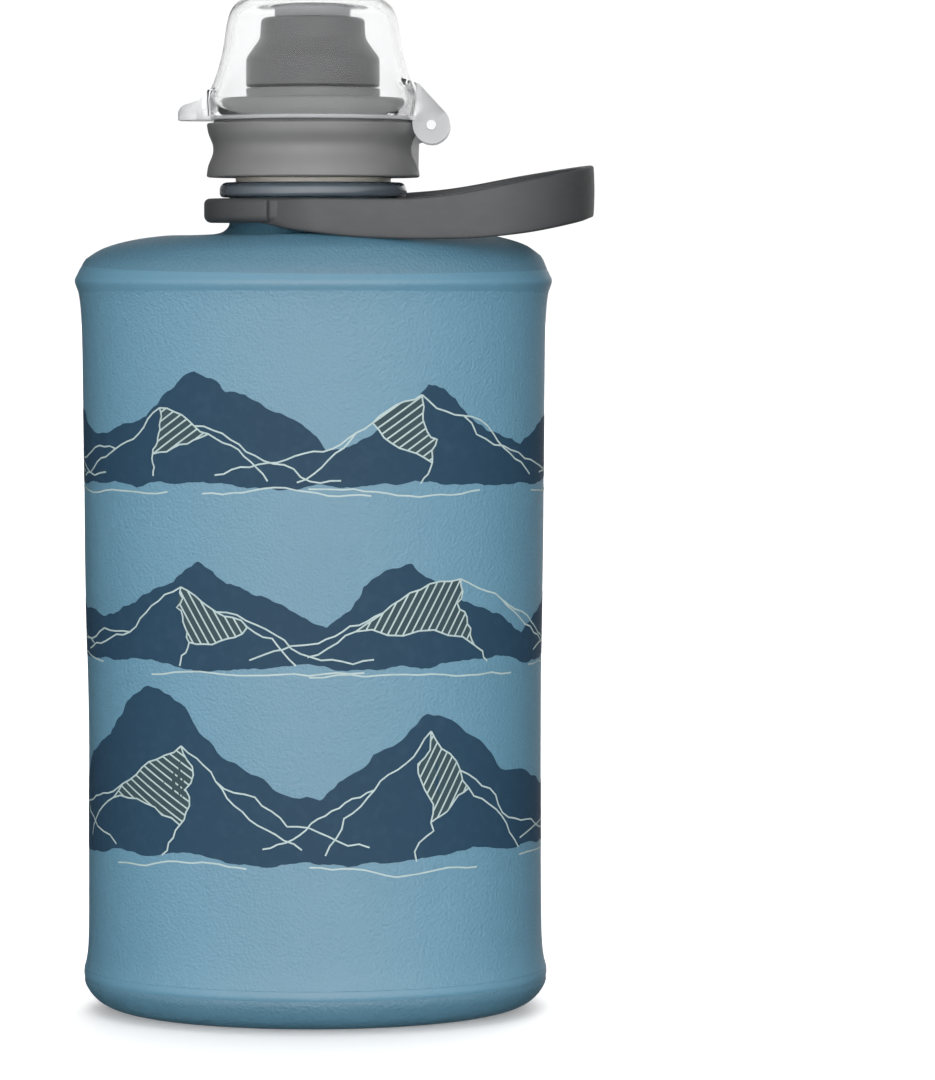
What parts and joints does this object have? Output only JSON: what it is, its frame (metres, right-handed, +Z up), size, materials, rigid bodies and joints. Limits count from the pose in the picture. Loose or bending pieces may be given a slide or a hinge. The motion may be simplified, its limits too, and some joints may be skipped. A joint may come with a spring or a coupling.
{
  "type": "folding water bottle",
  "caption": "Soft oval water bottle that folds down, with a screw cap, twist-open spout, hinged clear dust cover and a swivelling carry strap.",
  "frame": {"origin": "centre of the flat base, where the bottle stands", "axes": "+Z up along the neck, +X towards the dust cover's hinge and the end of the strap loop, -Y towards the printed front"},
  "size_m": [0.1006, 0.0588, 0.1967],
  "materials": {
    "film": "frosted translucent blue film",
    "printed_film": "frosted translucent blue film with a printed pattern",
    "film_weld": "pressed weld",
    "port": "glossy moulded",
    "strap": "soft matte moulded",
    "seal": "soft seal",
    "cap": "satin moulded",
    "pin": "smooth pin",
    "core": "satin moulded",
    "mouthpiece": "satin moulded",
    "clear_cover": "clear moulded, lightly frosted"
  },
  "bodies": {
    "base": {"base_panel": "film", "base_seam": "film_weld", "side_wall": "printed_film"},
    "shoulder": {"top_seam": "film_weld", "shoulder_panel": "film", "neck_port": "port"},
    "strap_ring": {"strap_ring": "strap"},
    "strap_loop": {"strap_loop": "strap"},
    "cap_lift": {"cap_gasket": "seal"},
    "cap": {"cap_shell": "cap", "hinge_pin": "pin", "spout_core": "core"},
    "spout_lift": {"spout_seal": "seal"},
    "spout": {"mouthpiece": "mouthpiece"},
    "dust_cover": {"dust_cover": "clear_cover"}
  },
  "joints": [
    {"name": "fold_down", "type": "slide", "parent": "base", "child": "shoulder", "axis": [0, 0, 1], "range_m": [-0.11, 0], "deforming": ["side_wall"]},
    {"name": "strap_swivel", "type": "hinge", "parent": "shoulder", "child": "strap_ring", "pos_m": [0, 0, 0.156], "axis": [0, 0, 1], "continuous": true},
    {"name": "strap_lift", "type": "hinge", "parent": "strap_ring", "child": "strap_loop", "pos_m": [-0.0076, 0, 0.156], "axis": [0, -1, 0], "range_deg": [0, 95]},
    {"name": "cap_rise", "type": "slide", "parent": "shoulder", "child": "cap_lift", "axis": [0, 0, 1], "range_m": [0, 0.006]},
    {"name": "cap_turn", "type": "hinge", "parent": "cap_lift", "child": "cap", "pos_m": [0, 0, 0.17], "axis": [0, 0, 1], "range_deg": [0, 540]},
    {"name": "spout_rise", "type": "slide", "parent": "cap", "child": "spout_lift", "axis": [0, 0, 1], "range_m": [0, 0.002]},
    {"name": "spout_twist", "type": "hinge", "parent": "spout_lift", "child": "spout", "pos_m": [0, 0, 0.186], "axis": [0, 0, 1], "range_deg": [0, 90]},
    {"name": "cover_flip", "type": "hinge", "parent": "cap", "child": "dust_cover", "pos_m": [0.0229, 0, 0.1722], "axis": [0, 1, 0], "range_deg": [0, 120]}
  ],
  "couplings": [
    {"joint": "cap_rise", "follows": "cap_turn", "m_per_rad": 0.00063661},
    {"joint": "spout_rise", "follows": "spout_twist", "m_per_rad": 0.0012732}
  ]
}
